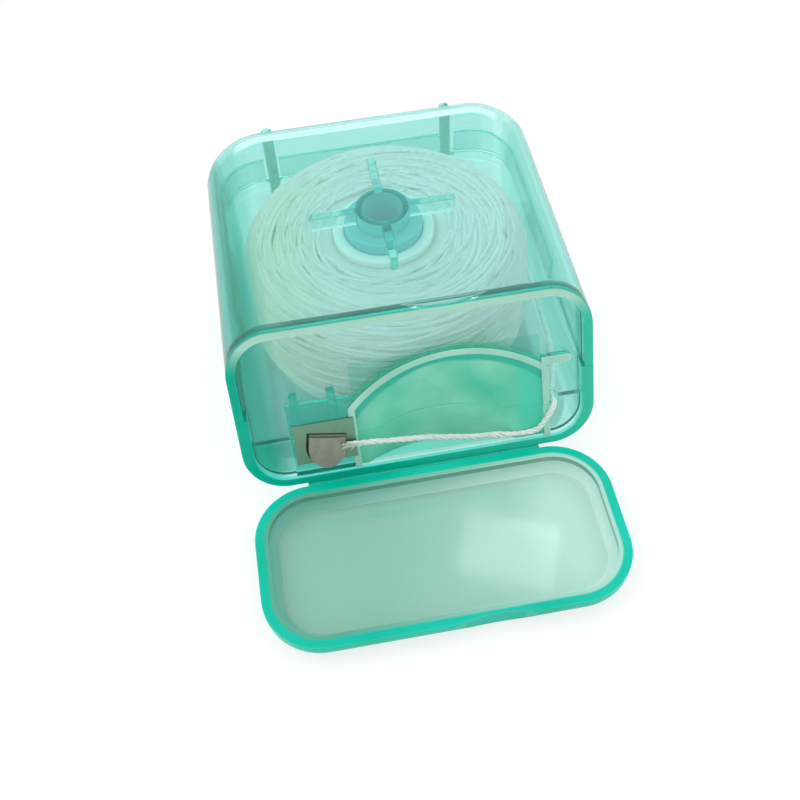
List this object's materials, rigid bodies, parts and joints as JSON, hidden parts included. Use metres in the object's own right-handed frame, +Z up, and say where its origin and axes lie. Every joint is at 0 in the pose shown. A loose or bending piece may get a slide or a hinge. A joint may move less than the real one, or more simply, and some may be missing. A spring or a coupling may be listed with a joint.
{
  "type": "dental floss dispenser",
  "caption": "Translucent pocket floss dispenser: a two-part case round a turning bobbin, with a finger recess, a steel cutter under the mouth's rim and a flip lid lying open in front.",
  "frame": {"origin": "middle of the case's flat base, half way between the hinge line and the back wall, on the surface that it rests on", "axes": "+Z up; +Y from the mouth to the back wall; +X to the right as the mouth is looked at, towards the floss outlet"},
  "size_m": [0.0495, 0.0786, 0.0259],
  "materials": {
    "tinted_shell": "clear turquoise, glossy",
    "tinted_lid": "clear turquoise, glossy outside, misted inside",
    "steel": "bright sheet steel",
    "core": "satin",
    "floss": "waxed twisted filament"
  },
  "bodies": {
    "case": {"lower_shell": "tinted_shell", "upper_shell": "tinted_shell", "living_hinge": "tinted_lid", "cutter_plate": "steel", "floss_strand": "floss"},
    "lid": {"flip_lid": "tinted_lid"},
    "bobbin": {"bobbin_core": "core", "floss_package": "floss", "floss_winding": "floss"}
  },
  "joints": [
    {"name": "lid_flip", "type": "hinge", "parent": "case", "child": "lid", "pos_m": [0, -0.0267, 0.003], "axis": [-1, 0, 0], "range_deg": [0, 110.7]},
    {"name": "bobbin_turn", "type": "hinge", "parent": "case", "child": "bobbin", "pos_m": [0, 0.00304, 0.011], "axis": [0, 0, 1], "continuous": true}
  ]
}
